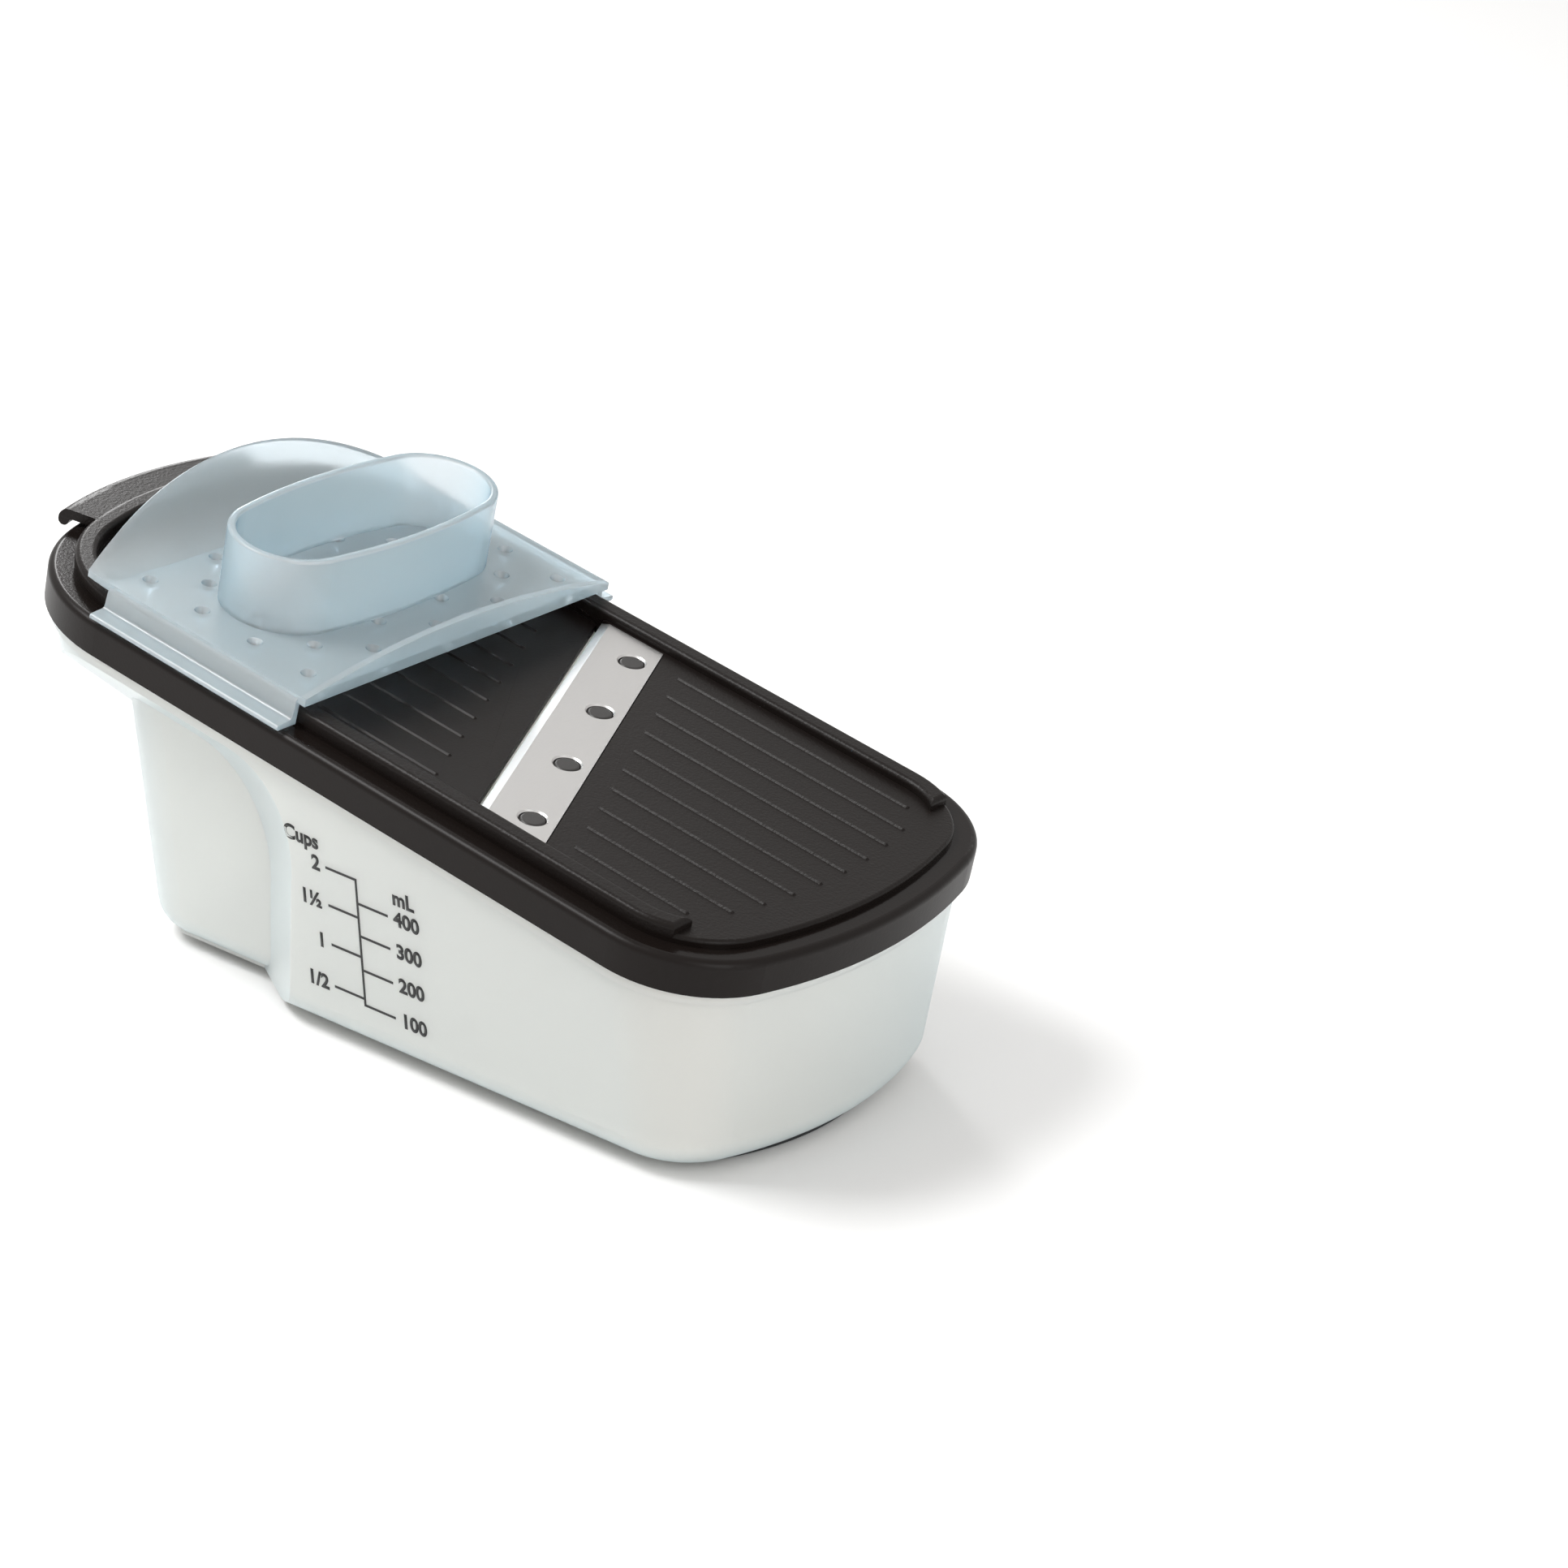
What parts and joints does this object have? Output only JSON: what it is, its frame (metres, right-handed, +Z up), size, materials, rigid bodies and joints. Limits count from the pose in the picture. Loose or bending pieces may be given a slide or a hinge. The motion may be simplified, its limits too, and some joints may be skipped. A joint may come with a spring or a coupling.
{
  "type": "mandoline slicer",
  "caption": "Box mandoline slicer: slicing plate with a skewed blade on a sloping catch container, and a food holder that slides along its rails.",
  "frame": {"origin": "on the table under the middle of the overall length and width", "axes": "+X towards the low front end, +Y across, +Z up"},
  "size_m": [0.2103, 0.1052, 0.1026],
  "materials": {
    "container": "translucent milky polypropylene, satin",
    "feet": "soft matte",
    "plate": "fine spark-eroded satin, polished ledge",
    "blade": "satin",
    "rivets": "satin",
    "holder": "translucent light blue polypropylene, satin"
  },
  "bodies": {
    "container": {"container": "container", "front_foot": "feet", "rear_foot": "feet"},
    "plate": {"slicer_plate": "plate", "blade": "blade", "blade_rivets": "rivets"},
    "holder": {"food_holder": "holder"}
  },
  "joints": [
    {"name": "plate_lift", "type": "slide", "parent": "container", "child": "plate", "axis": [0.1668, 0, 0.986], "range_m": [0, 0.06]},
    {"name": "holder_slide", "type": "slide", "parent": "plate", "child": "holder", "axis": [0.986, 0, -0.1668], "range_m": [-0.004, 0.108]}
  ]
}
